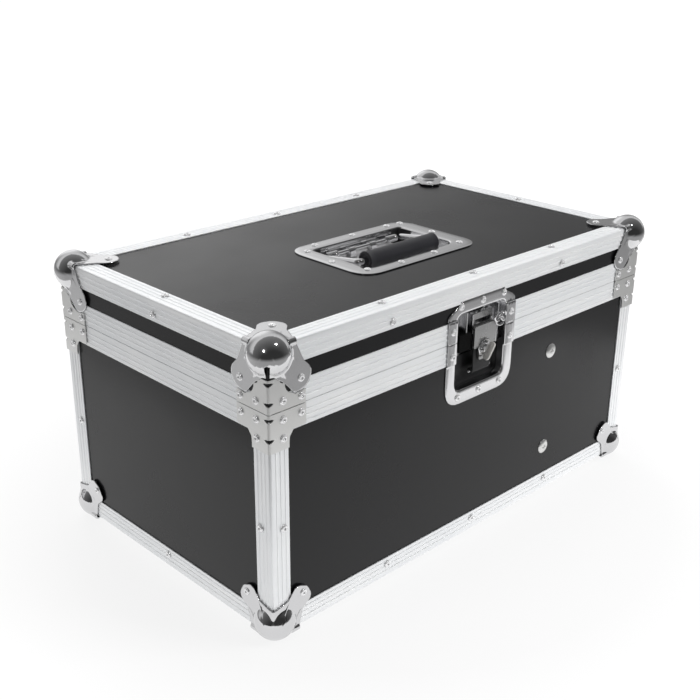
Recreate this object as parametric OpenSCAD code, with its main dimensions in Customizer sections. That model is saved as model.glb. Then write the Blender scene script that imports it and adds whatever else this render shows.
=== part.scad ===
// Hard equipment case: a laminated plywood box edged with ribbed aluminium
// extrusion, with stamped ball corners, a hinged lid, a recessed butterfly
// latch on the front and a sprung carry handle let into the lid.
// +X runs along the latch side to the right, +Y to the hinge side, +Z up.
// The origin is on the ground, under the middle of the case.

/* [Case] */
// Width over the edge extrusions, left to right
case_w = 560; // [500:10:640]
// Depth over the edge extrusions, latch side to hinge side
case_d = 330; // [300:10:400]
// Height over the edge extrusions, lid closed
case_h = 290; // [270:10:340]
// Height of the lid
lid_h = 61; // [61:1:75]
// Thickness of the laminated plywood
panel_t = 7; // [6:0.5:9]
// Thickness of the foam lining
foam_t = 5; // [3:0.5:6]
// Gap between the lid rim and the body rim
seam = 0.5; // [0.3:0.1:0.8]

/* [Edge extrusion] */
// Width of one leg of the angle
leg_w = 22; // [21:0.5:24]
// Metal thickness of a leg, bead included
leg_t = 1.7; // [1.5:0.1:2]
// Height of the three beads along each leg
bead_h = 0.5; // [0.3:0.1:0.6]
// Distance from the outer edge to the first bead
bead_start = 7.5; // [6:0.5:8]
// Distance from bead to bead
bead_pitch = 5.2; // [4.5:0.1:5.4]

/* [Corners] */
// Radius of the stamped ball
ball_r = 20; // [18:0.5:21]
// How far the lid's balls are set in from the three faces
lid_ball_in = 10; // [10:0.5:12]
// How far the base's balls are set in from the three faces
base_ball_in = 11.7; // [11:0.1:12.5]
// Thickness of the corner plates
plate_t = 1.2; // [1:0.1:1.5]
// Radius of the round lobe that carries the rivet
lobe_r = 12; // [10:0.5:13]

/* [Latch] */
// Half the width of the latch flange
latch_half = 52; // [50:1:56]
// Half the width of the latch opening
latch_mouth = 38; // [35:1:39]
// Depth of the latch pan behind the front face
latch_depth = 12; // [11:0.5:12.5]
// How far the latch reaches below the parting line
latch_below = 69; // [67:1:74]
// How far the latch reaches above the parting line
latch_above = 41; // [38:1:42]
// Sideways place of the latch mechanism
latch_x = 4; // [2:1:6]
// Travel of the claw when the wing makes half a turn
claw_lift = 6; // [4:0.5:7]

/* [Handle] */
// Width of the handle dish
dish_w = 175; // [165:5:185]
// Front to back size of the handle dish
dish_d = 120; // [115:1:125]
// Place of the dish's middle behind the case's middle
dish_y = -27; // [-32:0.5:-25]
// Depth of the handle dish below the top
dish_depth = 17; // [16:0.5:20]
// Length of the rubber grip
grip_l = 104; // [100:1:108]
// Diameter of the rubber grip
grip_dia = 18.5; // [18:0.5:20]
// Diameter of the handle's steel rod
rod_dia = 7; // [6:0.5:8]

/* [Hidden] */
$fn = 48;

// Case planes
hx = case_w / 2;
hy = case_d / 2;
foot = ball_r - base_ball_in - 0.3;
z0 = foot;
z1 = foot + case_h;
part_z = z1 - lid_h;
lid_z = part_z + seam;
in_t = leg_t + panel_t;
eps = 0.01;
far = 1000;

// Rim sections
web_t = 1.5;
tongue_h = 3;
tongue_u = 4.2;
tongue_w = 2.2;
groove_gap = 0.7;
lip_h = 10;

// Rivets
rivet_r = 3.9;
rivet_h = 1.5;
edge_rivet_in = 15;
edge_rivet_x = 130;
post_rivet_z = 113;
divider_x = 125;

// Latch levels, measured from the parting line and from the front face
flange_t = 1.4;
mouth_top = 28;
mouth_bottom = 54;
pivot_drop = 40;
pivot_in = 5.5;
hub_drop = 15;
hub_r = 10;
wing_angle = 53;

// Handle levels
dish_floor = z1 - dish_depth;
mouth_half = 67;
mouth_front = dish_y - 41;
mouth_back = dish_y + 43;
pivot_corner = 4;
bail_half = 60;
bail_pivot_y = 8;
bail_pivot_z = z1 - 9;
grip_y = -49;
grip_z = z1 - 0.5;

// Hinges
hinge_x = 150;
hinge_w = 60;
knuckle_r = 4;
hinge_gap = 0.3;
hinge_y = hy + knuckle_r + hinge_gap;
hinge_pin_r = 2;
leaf_t = 1.5;
leaf_h = 20;

// ---------- helpers ----------

// Puts a corner's shape, drawn for x, y and z growing into the case, at a corner
module at_corner(sx, sy, top) {
  translate([sx * hx, sy * hy, top ? z1 : z0])
    mirror([sx > 0 ? 1 : 0, 0, 0])
      mirror([0, sy > 0 ? 1 : 0, 0])
        mirror([0, 0, top ? 1 : 0]) children();
}

// A flat pattern in X and Z on the front or back face, its underside on the plane
module on_front(sy = -1, y = 0) {
  translate([0, sy * (hy + y), 0])
    mirror([0, sy > 0 ? 1 : 0, 0]) rotate([90, 0, 0]) children();
}

// A flat pattern in Y and Z on the left or right face
module on_end(sx = -1, x = 0) {
  translate([sx * (hx + x), 0, 0])
    mirror([sx < 0 ? 1 : 0, 0, 0]) rotate([90, 0, 90]) children();
}

// One bead's section, standing out of a leg's base
module bead(at) {
  translate([at, 0])
    polygon([[-1.1, bead_h + 0.1], [-0.45, 0], [0.45, 0], [1.1, bead_h + 0.1]]);
}

// Section of one leg: length along x, outer face at y = 0
module leg_2d(w, beads) {
  translate([0, bead_h]) square([w, leg_t - bead_h]);
  for (b = beads) bead(b);
}

edge_beads = [for (i = [0:2]) bead_start + i * bead_pitch];

// Angle section, outer edge rounded, legs along +x and +y
module angle_2d() {
  difference() {
    union() {
      leg_2d(leg_w, edge_beads);
      mirror([1, -1]) leg_2d(leg_w, edge_beads);
    }
    difference() {
      square(bead_h + 2);
      translate([bead_h + 2, bead_h + 2]) circle(2);
    }
  }
}

// Cuts an extrusion that runs along +x from a corner so that three meet in a mitre
module mitre_cut() {
  rotate([0, 0, 45]) translate([-far, 0, -far]) cube(2 * far);
  rotate([0, -45, 0]) translate([-far, -far, 0]) cube(2 * far);
}

// Angle extrusion along x, length len, mitred at both ends
module angle_x(len) {
  difference() {
    rotate([90, 0, 90]) linear_extrude(len) angle_2d();
    mitre_cut();
    translate([len, 0, 0]) mirror([1, 0, 0]) mitre_cut();
  }
}

// The four edges round the base or the top
module edge_x(sy, top) {
  at_corner(-1, sy, top) angle_x(case_w);
}
module edge_y(sx, top) {
  at_corner(sx, -1, top) mirror([1, -1, 0]) angle_x(case_d);
}

// Corner post: mitred at the foot, square under the body rim
module post(sx, sy) {
  color("gainsboro") at_corner(sx, sy, false) difference() {
    linear_extrude(part_z - leg_w - z0) angle_2d();
    mirror([1, 0, -1]) mitre_cut();
  }
}

// Rim sections: x goes into the case, y is up from the parting line
body_beads = [for (i = [0:2]) 7.5 + i * 5.5];
lid_beads = [for (i = [0:2]) 6 + i * 5.2];

module body_rim_2d() {
  rotate(-90) leg_2d(leg_w, body_beads);
  translate([bead_h, -web_t]) square([in_t + web_t - bead_h, web_t]);
  translate([tongue_u, -eps]) square([tongue_w, tongue_h]);
  translate([in_t, -lip_h]) square([web_t, lip_h]);
}
module lid_rim_2d() {
  mirror([1, -1]) leg_2d(leg_w, lid_beads);
  difference() {
    translate([bead_h, 0]) square([in_t + web_t - bead_h, tongue_h + web_t + 0.5]);
    translate([tongue_u - groove_gap, -1])
      square([tongue_w + 2 * groove_gap, tongue_h + 1.5]);
  }
  translate([in_t, 0]) square([web_t, lip_h + 2]);
}

// A rim along x from a corner, mitred in plan
module rim_x(len) {
  difference() {
    rotate([90, 0, 90]) linear_extrude(len) children();
    rotate([0, 0, 45]) translate([-far, 0, -far]) cube(2 * far);
    translate([len, 0, 0]) mirror([1, 0, 0])
      rotate([0, 0, 45]) translate([-far, 0, -far]) cube(2 * far);
  }
}
module rim_side_x(sy, z) {
  translate([-hx, sy * hy, z]) mirror([0, sy > 0 ? 1 : 0, 0]) rim_x(case_w) children();
}
module rim_side_y(sx, z) {
  translate([sx * hx, -hy, z]) mirror([sx > 0 ? 1 : 0, 0, 0])
    mirror([1, -1, 0]) rim_x(case_d) children();
}

// Clearance for the latch pan through a panel, rim or lining
module latch_cut(low, high) {
  translate([-latch_mouth - 1.7, -hy - 2, part_z + low])
    cube([2 * latch_mouth + 3.4, in_t + foam_t + 4, high - low]);
}

// A domed rivet head standing on z = 0
module rivet() {
  cylinder(r = rivet_r, h = 0.7, $fn = 24);
  translate([0, 0, 0.7]) cylinder(r = rivet_r - 1.2, h = rivet_h - 0.7, $fn = 24);
}
module rivet_front(sy, x, z, y = plate_t) {
  on_front(sy, y) translate([x, z, 0]) rivet();
}
module rivet_end(sx, y, z, x = plate_t) {
  on_end(sx, x) translate([y, z, 0]) rivet();
}
module rivet_flat(x, y, z) {
  translate([x, y, z]) mirror([0, 0, z < part_z ? 1 : 0]) rivet();
}

// ---------- panels ----------

module bottom_panel() {
  color("#2c2c2e") translate([-hx + leg_t, -hy + leg_t, z0 + leg_t])
    cube([case_w - 2 * leg_t, case_d - 2 * leg_t, panel_t]);
}

wall_low = z0 + in_t;
wall_high = part_z - web_t;
strip_low = lid_z + tongue_h + web_t + 0.5;
strip_high = z1 - in_t;

module wall_x(sy, low, high) {
  translate([-hx + leg_t, sy > 0 ? hy - in_t : -hy + leg_t, low])
    cube([case_w - 2 * leg_t, panel_t, high - low]);
}
module wall_y(sx, low, high) {
  translate([sx > 0 ? hx - in_t : -hx + leg_t, -hy + in_t, low])
    cube([panel_t, case_d - 2 * in_t, high - low]);
}
module front_panel() {
  color("#333335") difference() {
    wall_x(-1, wall_low, wall_high);
    latch_cut(-mouth_bottom - 1.7, 10);
  }
}
module back_panel() {
  color("#333335") wall_x(1, wall_low, wall_high);
}
module left_end_panel() {
  color("#333335") wall_y(-1, wall_low, wall_high);
}
module right_end_panel() {
  color("#333335") wall_y(1, wall_low, wall_high);
}
module top_panel() {
  color("#5a5a5d") difference() {
    translate([-hx + leg_t, -hy + leg_t, z1 - in_t])
      cube([case_w - 2 * leg_t, case_d - 2 * leg_t, panel_t]);
    translate([-mouth_half - 1.7, mouth_front - 1.7, z1 - 2 * in_t])
      cube([2 * mouth_half + 3.4, mouth_back - mouth_front + 3.4, 3 * in_t]);
  }
}
module lid_strip_front() {
  color("#1c1e20") difference() {
    wall_x(-1, strip_low, strip_high);
    latch_cut(-1, mouth_top + 1.7);
  }
}
module lid_strip_back() {
  color("#1c1e20") wall_x(1, strip_low, strip_high);
}
module lid_strip_left() {
  color("#1c1e20") wall_y(-1, strip_low, strip_high);
}
module lid_strip_right() {
  color("#1c1e20") wall_y(1, strip_low, strip_high);
}

// ---------- extrusions ----------

module bottom_edge_front() {
  color("gainsboro") edge_x(-1, false);
}
module bottom_edge_back() {
  color("gainsboro") edge_x(1, false);
}
module bottom_edge_left() {
  color("gainsboro") edge_y(-1, false);
}
module bottom_edge_right() {
  color("gainsboro") edge_y(1, false);
}
module post_front_left() {
  post(-1, -1);
}
module post_front_right() {
  post(1, -1);
}
module post_back_left() {
  post(-1, 1);
}
module post_back_right() {
  post(1, 1);
}
module body_rim_front() {
  color("gainsboro") difference() {
    rim_side_x(-1, part_z) body_rim_2d();
    latch_cut(-2 * leg_w, 10);
  }
}
module body_rim_back() {
  color("gainsboro") rim_side_x(1, part_z) body_rim_2d();
}
module body_rim_left() {
  color("gainsboro") rim_side_y(-1, part_z) body_rim_2d();
}
module body_rim_right() {
  color("gainsboro") rim_side_y(1, part_z) body_rim_2d();
}
notch_half = 34;
module lid_edge_front() {
  color("gainsboro") difference() {
    edge_x(-1, true);
    translate([-notch_half, -hy - 1, part_z]) cube([2 * notch_half, 4, latch_above + 0.3]);
  }
}
module lid_edge_back() {
  color("gainsboro") edge_x(1, true);
}
module lid_edge_left() {
  color("gainsboro") edge_y(-1, true);
}
module lid_edge_right() {
  color("gainsboro") edge_y(1, true);
}
module lid_rim_front() {
  color("gainsboro") difference() {
    rim_side_x(-1, lid_z) lid_rim_2d();
    latch_cut(-10, 2 * leg_w);
  }
}
module lid_rim_back() {
  color("gainsboro") rim_side_x(1, lid_z) lid_rim_2d();
}
module lid_rim_left() {
  color("gainsboro") rim_side_y(-1, lid_z) lid_rim_2d();
}
module lid_rim_right() {
  color("gainsboro") rim_side_y(1, lid_z) lid_rim_2d();
}

// ---------- ball corners ----------

// One leaf of a ball corner, its corner at the origin
module leaf_2d() {
  polygon([
    [-plate_t, -plate_t], [30, -plate_t], [30, 5], [41, 26], [26, 41], [5, 30], [-plate_t, 30]
  ]);
  translate([36, 36]) circle(lobe_r);
}

// Ball and three leaves, drawn for a corner whose case grows along +x, +y and +z
module ball_corner(ball_in) {
  difference() {
    union() {
      translate([ball_in, ball_in, ball_in]) sphere(ball_r, $fn = 64);
      translate([0, 0, -plate_t]) linear_extrude(plate_t) leaf_2d();
      rotate([90, 0, 0]) linear_extrude(plate_t) leaf_2d();
      rotate([90, 0, 90]) translate([0, 0, -plate_t]) linear_extrude(plate_t) leaf_2d();
    }
    cube(far);
  }
}

module base_corner(sx, sy) {
  color("silver") difference() {
    at_corner(sx, sy, false) ball_corner(base_ball_in);
    translate([-far, -far, -2 * far]) cube(2 * far);
  }
}
module lid_corner(sx, sy) {
  color("silver") at_corner(sx, sy, true) ball_corner(lid_ball_in);
}
module base_corner_front_left() {
  base_corner(-1, -1);
}
module base_corner_front_right() {
  base_corner(1, -1);
}
module base_corner_back_left() {
  base_corner(-1, 1);
}
module base_corner_back_right() {
  base_corner(1, 1);
}
module lid_corner_front_left() {
  lid_corner(-1, -1);
}
module lid_corner_front_right() {
  lid_corner(1, -1);
}
module lid_corner_back_left() {
  lid_corner(-1, 1);
}
module lid_corner_back_right() {
  lid_corner(1, 1);
}

// ---------- braces ----------

// Lid brace on one face: x from the upright edge, y down from the top
module lid_brace_2d() {
  difference() {
    polygon([
      [-plate_t, 30.5], [8, 30.5], [14, 36], [22, 42], [41.5, 45.5],
      [41.5, lid_h - seam], [-plate_t, lid_h - seam]
    ]);
    leaf_2d();
  }
}

// Body brace on one face: x from the upright edge, y down from the parting line
module body_brace_2d() {
  polygon([
    [-plate_t, 0], [41.7, 0], [41.7, 20.5], [27, 20.5], [22.3, 27.5],
    [22, 37], [-plate_t, 37]
  ]);
}

// Lays a face pattern, y downwards, on both faces of an upright edge
module both_faces(sx, sy, z) {
  translate([sx * hx, sy * hy, z]) mirror([sx > 0 ? 1 : 0, 0, 0])
    mirror([0, sy > 0 ? 1 : 0, 0]) mirror([0, 0, 1]) {
      rotate([90, 0, 0]) linear_extrude(plate_t) children();
      rotate([90, 0, 90]) translate([0, 0, -plate_t]) linear_extrude(plate_t) children();
    }
}

module lid_braces() {
  color("silver") for (sx = [-1, 1], sy = [-1, 1])
    both_faces(sx, sy, z1) lid_brace_2d();
}
module body_braces() {
  color("silver") for (sx = [-1, 1], sy = [-1, 1])
    both_faces(sx, sy, part_z) body_brace_2d();
}

// ---------- rivets and screws ----------

lobe_at = 36;
lid_brace_rivets = [[15.3, 51.5], [36.5, 53]];
body_brace_rivets = [[15.3, 8], [36, 7.5], [15.2, 26]];

// Rivets on both faces of every upright edge, each given as distance in and height
module face_rivets(places) {
  for (sx = [-1, 1], sy = [-1, 1], p = places) {
    rivet_front(sy, sx * (hx - p[0]), p[1]);
    rivet_end(sx, sy * (hy - p[0]), p[1]);
  }
}

// Rivets along the four edges of the base or the top; front_row is the row on the front face
edge_row = [-edge_rivet_x, 0, edge_rivet_x];
module edge_rivets(z, flat_z, front_row) {
  for (x = front_row) rivet_front(-1, x, z, 0);
  for (x = edge_row) rivet_front(1, x, z, 0);
  for (sy = [-1, 1], x = edge_row) rivet_flat(x, sy * (hy - edge_rivet_in), flat_z);
  for (sx = [-1, 1]) {
    rivet_end(sx, 0, z, 0);
    rivet_flat(sx * (hx - edge_rivet_in), 0, flat_z);
  }
}

module lobe_rivets(z) {
  for (sx = [-1, 1], sy = [-1, 1])
    rivet_flat(sx * (hx - lobe_at), sy * (hy - lobe_at), z);
}

hinge_rivet_x = [-23, -9, 9, 23];
hinge_rivet_drop = 12;
module hinge_rivets(z) {
  for (hinge = [-hinge_x, hinge_x], x = hinge_rivet_x)
    rivet_front(1, hinge + x, z, leaf_t);
}

latch_row = [-33, 0, 33];
latch_rim = (latch_mouth + latch_half) / 2;
low_face = flange_t - leg_t;
module body_rivets() {
  color("lightgray") {
    edge_rivets(z0 + edge_rivet_in, z0, edge_row);
    lobe_rivets(z0 - plate_t);
    face_rivets([[lobe_at, z0 + lobe_at]]);
    face_rivets([for (p = body_brace_rivets) [p[0], part_z - p[1]]]);
    for (sx = [-1, 1], sy = [-1, 1]) {
      rivet_front(sy, sx * (hx - edge_rivet_in), z0 + post_rivet_z, 0);
      rivet_end(sx, sy * (hy - edge_rivet_in), z0 + post_rivet_z, 0);
    }
    for (x = latch_row) rivet_front(-1, x, part_z - 61.5, low_face);
    for (x = [-latch_rim, latch_rim]) rivet_front(-1, x, part_z - 13.5, flange_t);
    hinge_rivets(part_z - hinge_rivet_drop);
  }
}

module lid_rivets() {
  color("lightgray") {
    edge_rivets(z1 - edge_rivet_in, z1, [-edge_rivet_x, edge_rivet_x]);
    lobe_rivets(z1 + plate_t);
    face_rivets([[lobe_at, z1 - lobe_at]]);
    face_rivets([for (p = lid_brace_rivets) [p[0], z1 - p[1]]]);
    for (x = latch_row) rivet_front(-1, x, part_z + 36, low_face);
    for (x = [-latch_rim, latch_rim]) rivet_front(-1, x, part_z + 13, flange_t);
    hinge_rivets(lid_z + hinge_rivet_drop);
    for (p = dish_rivets) rivet_flat(p[0], p[1], z1 - leg_t + flange_t);
  }
}

dish_front = dish_y - dish_d / 2;
dish_back = dish_y + dish_d / 2;
dish_rivets = concat(
  [for (x = [-27.5, 22.5]) [x, dish_front + 9.7]],
  [for (x = [-70.5, 70]) [x, dish_front + 15.5]],
  [for (x = [-53, 3, 57.5]) [x, dish_back - 6.5]],
  [[-79.7, dish_y - 2], [-74, dish_back - 18.5], [76.5, dish_back - 9], [78.2, dish_y + 3]]
);

screw_dia = 16.5;
screw_heights = [56.5, 174.5];
module divider_screws() {
  color("silver") for (sy = [-1, 1], z = screw_heights)
    on_front(sy, -leg_t) translate([divider_x, z0 + z, 0]) {
      cylinder(d = screw_dia, h = 1.2);
      translate([0, 0, 1.2]) cylinder(d = screw_dia - 5, h = 1.4);
    }
}

// ---------- inside ----------

divider_t = 7;
divider_top = part_z - 14;
module divider_panel() {
  color("#3a3a3c") translate([divider_x - divider_t / 2, -hy + in_t, wall_low])
    cube([divider_t, case_d - 2 * in_t, divider_top - wall_low]);
}

// Four foam walls standing inside the panels
module foam_walls(low, high) {
  translate([0, 0, low]) linear_extrude(high - low) difference() {
    square([case_w - 2 * in_t, case_d - 2 * in_t], center = true);
    square([case_w - 2 * (in_t + foam_t), case_d - 2 * (in_t + foam_t)], center = true);
  }
}

module body_lining() {
  color("#26262a") difference() {
    union() {
      translate([-hx + in_t, -hy + in_t, wall_low])
        cube([case_w - 2 * in_t, case_d - 2 * in_t, foam_t]);
      foam_walls(wall_low + foam_t, part_z - lip_h - 1);
    }
    latch_cut(-mouth_bottom - 1.7, 10);
    translate([divider_x - divider_t / 2, -hy, wall_low - 1])
      cube([divider_t, case_d, case_h]);
  }
}

module lid_lining() {
  color("#26262a") difference() {
    union() {
      translate([-hx + in_t, -hy + in_t, z1 - in_t - foam_t])
        cube([case_w - 2 * in_t, case_d - 2 * in_t, foam_t]);
      foam_walls(lid_z + lip_h + 3, z1 - in_t - foam_t);
    }
    latch_cut(-1, mouth_top + 1.7);
    translate([-mouth_half - 1.7, mouth_front - 1.7, z1 - 2 * in_t])
      cube([2 * mouth_half + 3.4, mouth_back - mouth_front + 3.4, 3 * in_t]);
  }
}

// ---------- latch ----------

wall_t = 1.2;
pivot_z = part_z - pivot_drop;
pivot_y = -hy + pivot_in;
hub_z = part_z - hub_drop;

// Rounded rectangle, r at every corner
module round_rect(x0, y0, x1, y1, r) {
  translate([x0 + r, y0]) square([x1 - x0 - 2 * r, y1 - y0]);
  translate([x0, y0 + r]) square([x1 - x0, y1 - y0 - 2 * r]);
  for (x = [x0 + r, x1 - r], y = [y0 + r, y1 - r]) translate([x, y]) circle(r);
}

// Latch opening, grown by g
module mouth_2d(g = 0) {
  round_rect(-latch_mouth - g, part_z - mouth_bottom - g, latch_mouth + g,
    part_z + mouth_top + g, 9 + g);
}

// Outline of the latch flange, both halves
module flange_2d() {
  polygon([
    [-latch_half, part_z - latch_below + 20], [latch_half, part_z - latch_below + 20],
    [latch_half, part_z + latch_above - 13], [latch_half - 5, part_z + latch_above - 9],
    [29, part_z + latch_above], [-29, part_z + latch_above],
    [-latch_half + 5, part_z + latch_above - 9], [-latch_half, part_z + latch_above - 13]
  ]);
  round_rect(-latch_half, part_z - latch_below, latch_half, part_z, 20);
}

module band(low, high) {
  translate([-2 * latch_half, low]) square([4 * latch_half, high - low]);
}

// Flange pieces between two heights, from one level to another out of the face
module flange(low, high, from, to) {
  on_front(-1, from) linear_extrude(to - from) intersection() {
    difference() {
      flange_2d();
      mouth_2d();
    }
    band(low, high);
  }
}

// Pan behind the opening, between two heights
module pan(low, high) {
  on_front(-1, -latch_depth - wall_t) linear_extrude(latch_depth + wall_t)
    intersection() {
      difference() {
        mouth_2d(wall_t);
        mouth_2d();
      }
      band(low, high);
    }
  on_front(-1, -latch_depth - wall_t) linear_extrude(wall_t) intersection() {
    mouth_2d(wall_t);
    band(low, high);
  }
}

ear_w = 2;
knuckle_half = 13.5;
module latch_lower_dish() {
  rim_foot = part_z - leg_w;
  color("silver") difference() {
    union() {
      flange(rim_foot - flange_t, part_z, 0, flange_t);
      flange(part_z - latch_below, rim_foot, -leg_t, low_face);
      flange(rim_foot - flange_t, rim_foot, -leg_t, flange_t);
      pan(part_z - latch_below, part_z);
      for (x = [-knuckle_half - 0.5 - ear_w, knuckle_half + 0.5])
        translate([latch_x + x, -hy + 2, pivot_z - 4])
          cube([ear_w, latch_depth - 2, 8]);
    }
    translate([-latch_half, pivot_y, pivot_z]) rotate([0, 90, 0])
      cylinder(r = 1.5, h = 2 * latch_half);
  }
}

module latch_upper_dish() {
  rim_top = lid_z + leg_w;
  color("silver") {
    flange(lid_z, rim_top + flange_t, 0, flange_t);
    flange(rim_top, part_z + latch_above, -leg_t, low_face);
    flange(rim_top, rim_top + flange_t, -leg_t, flange_t);
    pan(lid_z, part_z + latch_above);
  }
}

module latch_bumper() {
  color("#161616") {
    translate([-33, -hy + 1, part_z - 16]) cube([15.5, latch_depth - 1.6, 23]);
    translate([-31, -hy + 1, part_z - 14]) cube([11.5, latch_depth - 1, 13]);
  }
}

link_back = 3;
link_front = 1.5;
module latch_link() {
  color("darkgray") difference() {
    union() {
      translate([latch_x - knuckle_half, -hy + link_front, pivot_z])
        cube([2 * knuckle_half, link_back - link_front, pivot_drop - 1]);
      translate([latch_x - knuckle_half, pivot_y, pivot_z]) rotate([0, 90, 0])
        cylinder(r = 3.2, h = 2 * knuckle_half);
    }
    translate([-latch_half, pivot_y, pivot_z]) rotate([0, 90, 0])
      cylinder(r = 1.55, h = 2 * latch_half);
  }
}

shaft_r = 4;
claw_half = 16;
claw_top = part_z + 9.5;
claw_shoulder = part_z - 14;
claw_foot = part_z - 28;
tail_half = 7.5;
module latch_claw() {
  slot_r = shaft_r + 0.3;
  color("gray") {
    on_front(-1, -1) linear_extrude(2) difference() {
      union() {
        round_rect(latch_x - claw_half, claw_shoulder, latch_x + claw_half, claw_top, 2);
        round_rect(latch_x - tail_half, claw_foot, latch_x + tail_half, claw_top - 4, 2);
      }
      for (z = [hub_z, hub_z - claw_lift]) translate([latch_x, z]) circle(slot_r);
      translate([latch_x - slot_r, hub_z - claw_lift]) square([2 * slot_r, claw_lift]);
    }
    translate([latch_x - claw_half + 2, -hy + 0.9, claw_top - 2.5])
      cube([2 * claw_half - 4, link_back - 1.2, 2.5]);
  }
}

wing_len = 21;
wing_t = 2.4;
wing_out = 9.8;
module latch_wing() {
  color("silver") on_front(-1, -link_front) translate([latch_x, hub_z, 0]) {
    cylinder(r = shaft_r, h = link_front + 2);
    translate([0, 0, link_front + 1.3]) cylinder(r = hub_r, h = 2.7);
    rotate([0, 0, wing_angle]) translate([0, wing_t / 2, link_front + 3.9])
      rotate([90, 0, 0]) linear_extrude(wing_t) {
        for (x = [-1, 1]) translate([x * (wing_len / 2 - 4), wing_out - 3.9 - 4]) circle(4);
        translate([-wing_len / 2, 0]) square([wing_len, wing_out - 3.9 - 4]);
        translate([-wing_len / 2 + 4, 0]) square([wing_len - 8, wing_out - 3.9]);
      }
  }
}

loop_r = 4.5;
module latch_keeper() {
  low = part_z + 1.5;
  high = part_z + 22;
  color("silver") {
    on_front(-1, -4.5) linear_extrude(1.5) difference() {
      translate([latch_x - claw_half, low]) square([2 * claw_half, high - low]);
      translate([latch_x - 14, part_z + 10]) square([26, 6]);
    }
    for (x = [latch_x - claw_half, latch_x + claw_half - 1.5])
      translate([x, -hy + 4.4, low]) cube([1.5, latch_depth - 4.4, high - low]);
    for (p = [[24, 13], [28.5, 7.5]])
      on_front(-1, -2.6) translate([p[0], part_z + p[1], 0])
        rotate_extrude() translate([loop_r, 0]) circle(r = 1.3, $fn = 24);
  }
}

// ---------- lid hinges ----------

knuckles = 5;
knuckle_l = hinge_w / knuckles;
hinge_z = part_z + seam / 2;
relief = knuckle_r + 0.6;

// One leaf below its axis, which runs along x at the origin; the face is at y = -gap
module leaf(own) {
  face = -(knuckle_r + hinge_gap);
  difference() {
    union() {
      translate([-hinge_w / 2, face, -leaf_h]) cube([hinge_w, leaf_t, leaf_h - relief]);
      for (i = own) translate([i * knuckle_l - hinge_w / 2 + 0.1, 0, 0]) {
        translate([0, face, -relief - 0.5]) cube([knuckle_l - 0.2, leaf_t, relief + 0.5]);
        rotate([0, 90, 0]) cylinder(r = knuckle_r, h = knuckle_l - 0.2);
      }
    }
    translate([-hinge_w, 0, 0]) rotate([0, 90, 0])
      cylinder(r = hinge_pin_r + 0.05, h = 2 * hinge_w);
  }
}

module hinge_body_leaves() {
  color("silver") for (x = [-hinge_x, hinge_x])
    translate([x, hinge_y, hinge_z]) leaf([0, 2, 4]);
}
module hinge_lid_leaves() {
  color("silver") for (x = [-hinge_x, hinge_x])
    translate([x, hinge_y, hinge_z]) mirror([0, 0, 1]) leaf([1, 3]);
}

module pivot_pins() {
  color("silver") {
    for (x = [-hinge_x, hinge_x])
      translate([x - hinge_w / 2, hinge_y, hinge_z]) rotate([0, 90, 0])
        cylinder(r = hinge_pin_r, h = hinge_w);
    translate([latch_x - knuckle_half - 4, pivot_y, pivot_z]) rotate([0, 90, 0])
      cylinder(r = 1.5, h = 2 * knuckle_half + 8);
  }
}

// ---------- handle ----------

// Mouth of the handle dish, grown by g: wide curves in front, tight ones by the pivots
module dish_mouth_2d(g = 0) {
  round_rect(-mouth_half - g, mouth_front - g, mouth_half + g, mouth_back - 10 + g, 16 + g);
  round_rect(-mouth_half - g, mouth_front + 20 - g, mouth_half + g, mouth_back + g,
    pivot_corner + g);
}

module handle_dish() {
  color("silver") difference() {
    union() {
      translate([0, 0, z1 - leg_t]) linear_extrude(flange_t)
        round_rect(-dish_w / 2, dish_front, dish_w / 2, dish_back, 22);
      translate([0, 0, dish_floor - wall_t]) linear_extrude(dish_depth + wall_t - leg_t)
        dish_mouth_2d(wall_t);
    }
    translate([0, 0, dish_floor]) linear_extrude(2 * dish_depth) dish_mouth_2d();
    translate([-case_w / 2, bail_pivot_y, bail_pivot_z]) rotate([0, 90, 0])
      cylinder(d = rod_dia + 0.1, h = case_w);
  }
}

spring_half = 55;
module handle_spring() {
  color("lightgray") {
    translate([-spring_half, bail_pivot_y, bail_pivot_z]) rotate([0, 90, 0])
      cylinder(r = 2.2, h = 2 * spring_half);
    for (x = [-spring_half, spring_half - 18])
      translate([x, bail_pivot_y, bail_pivot_z]) rotate([0, 90, 0]) cylinder(r = 3.6, h = 18);
    for (x = [-20, 12])
      translate([x, bail_pivot_y - 3, dish_floor])
        cube([8, 6, bail_pivot_z - dish_floor]);
  }
}

// A round rod from a to b
module rod(a, b) {
  v = b - a;
  translate(a) rotate([0, acos(v[2] / norm(v)), atan2(v[1], v[0])])
    cylinder(d = rod_dia, h = norm(v));
}

// Two legs, each turning its corners in a block; the front block reaches to the grip's end
block = 9;
knee_block = 8;
module handle_bail() {
  color("silver") for (s = [-1, 1]) {
    knee = [s * bail_half, bail_pivot_y, bail_pivot_z];
    bend = [s * bail_half, grip_y, grip_z];
    rod([s * (mouth_half + wall_t), bail_pivot_y, bail_pivot_z], knee);
    rod(knee, bend);
    translate(knee) cube(knee_block, center = true);
    translate([s * (grip_l / 2 + bail_half + block / 2) / 2, grip_y, grip_z])
      cube([bail_half + block / 2 - grip_l / 2, block, block], center = true);
  }
}

module handle_grip() {
  color("#1a1a1c") translate([-grip_l / 2, grip_y, grip_z]) rotate([0, 90, 0]) {
    translate([0, 0, 1]) cylinder(d = grip_dia, h = grip_l - 2);
    cylinder(d = grip_dia - 2, h = grip_l);
  }
}

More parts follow.
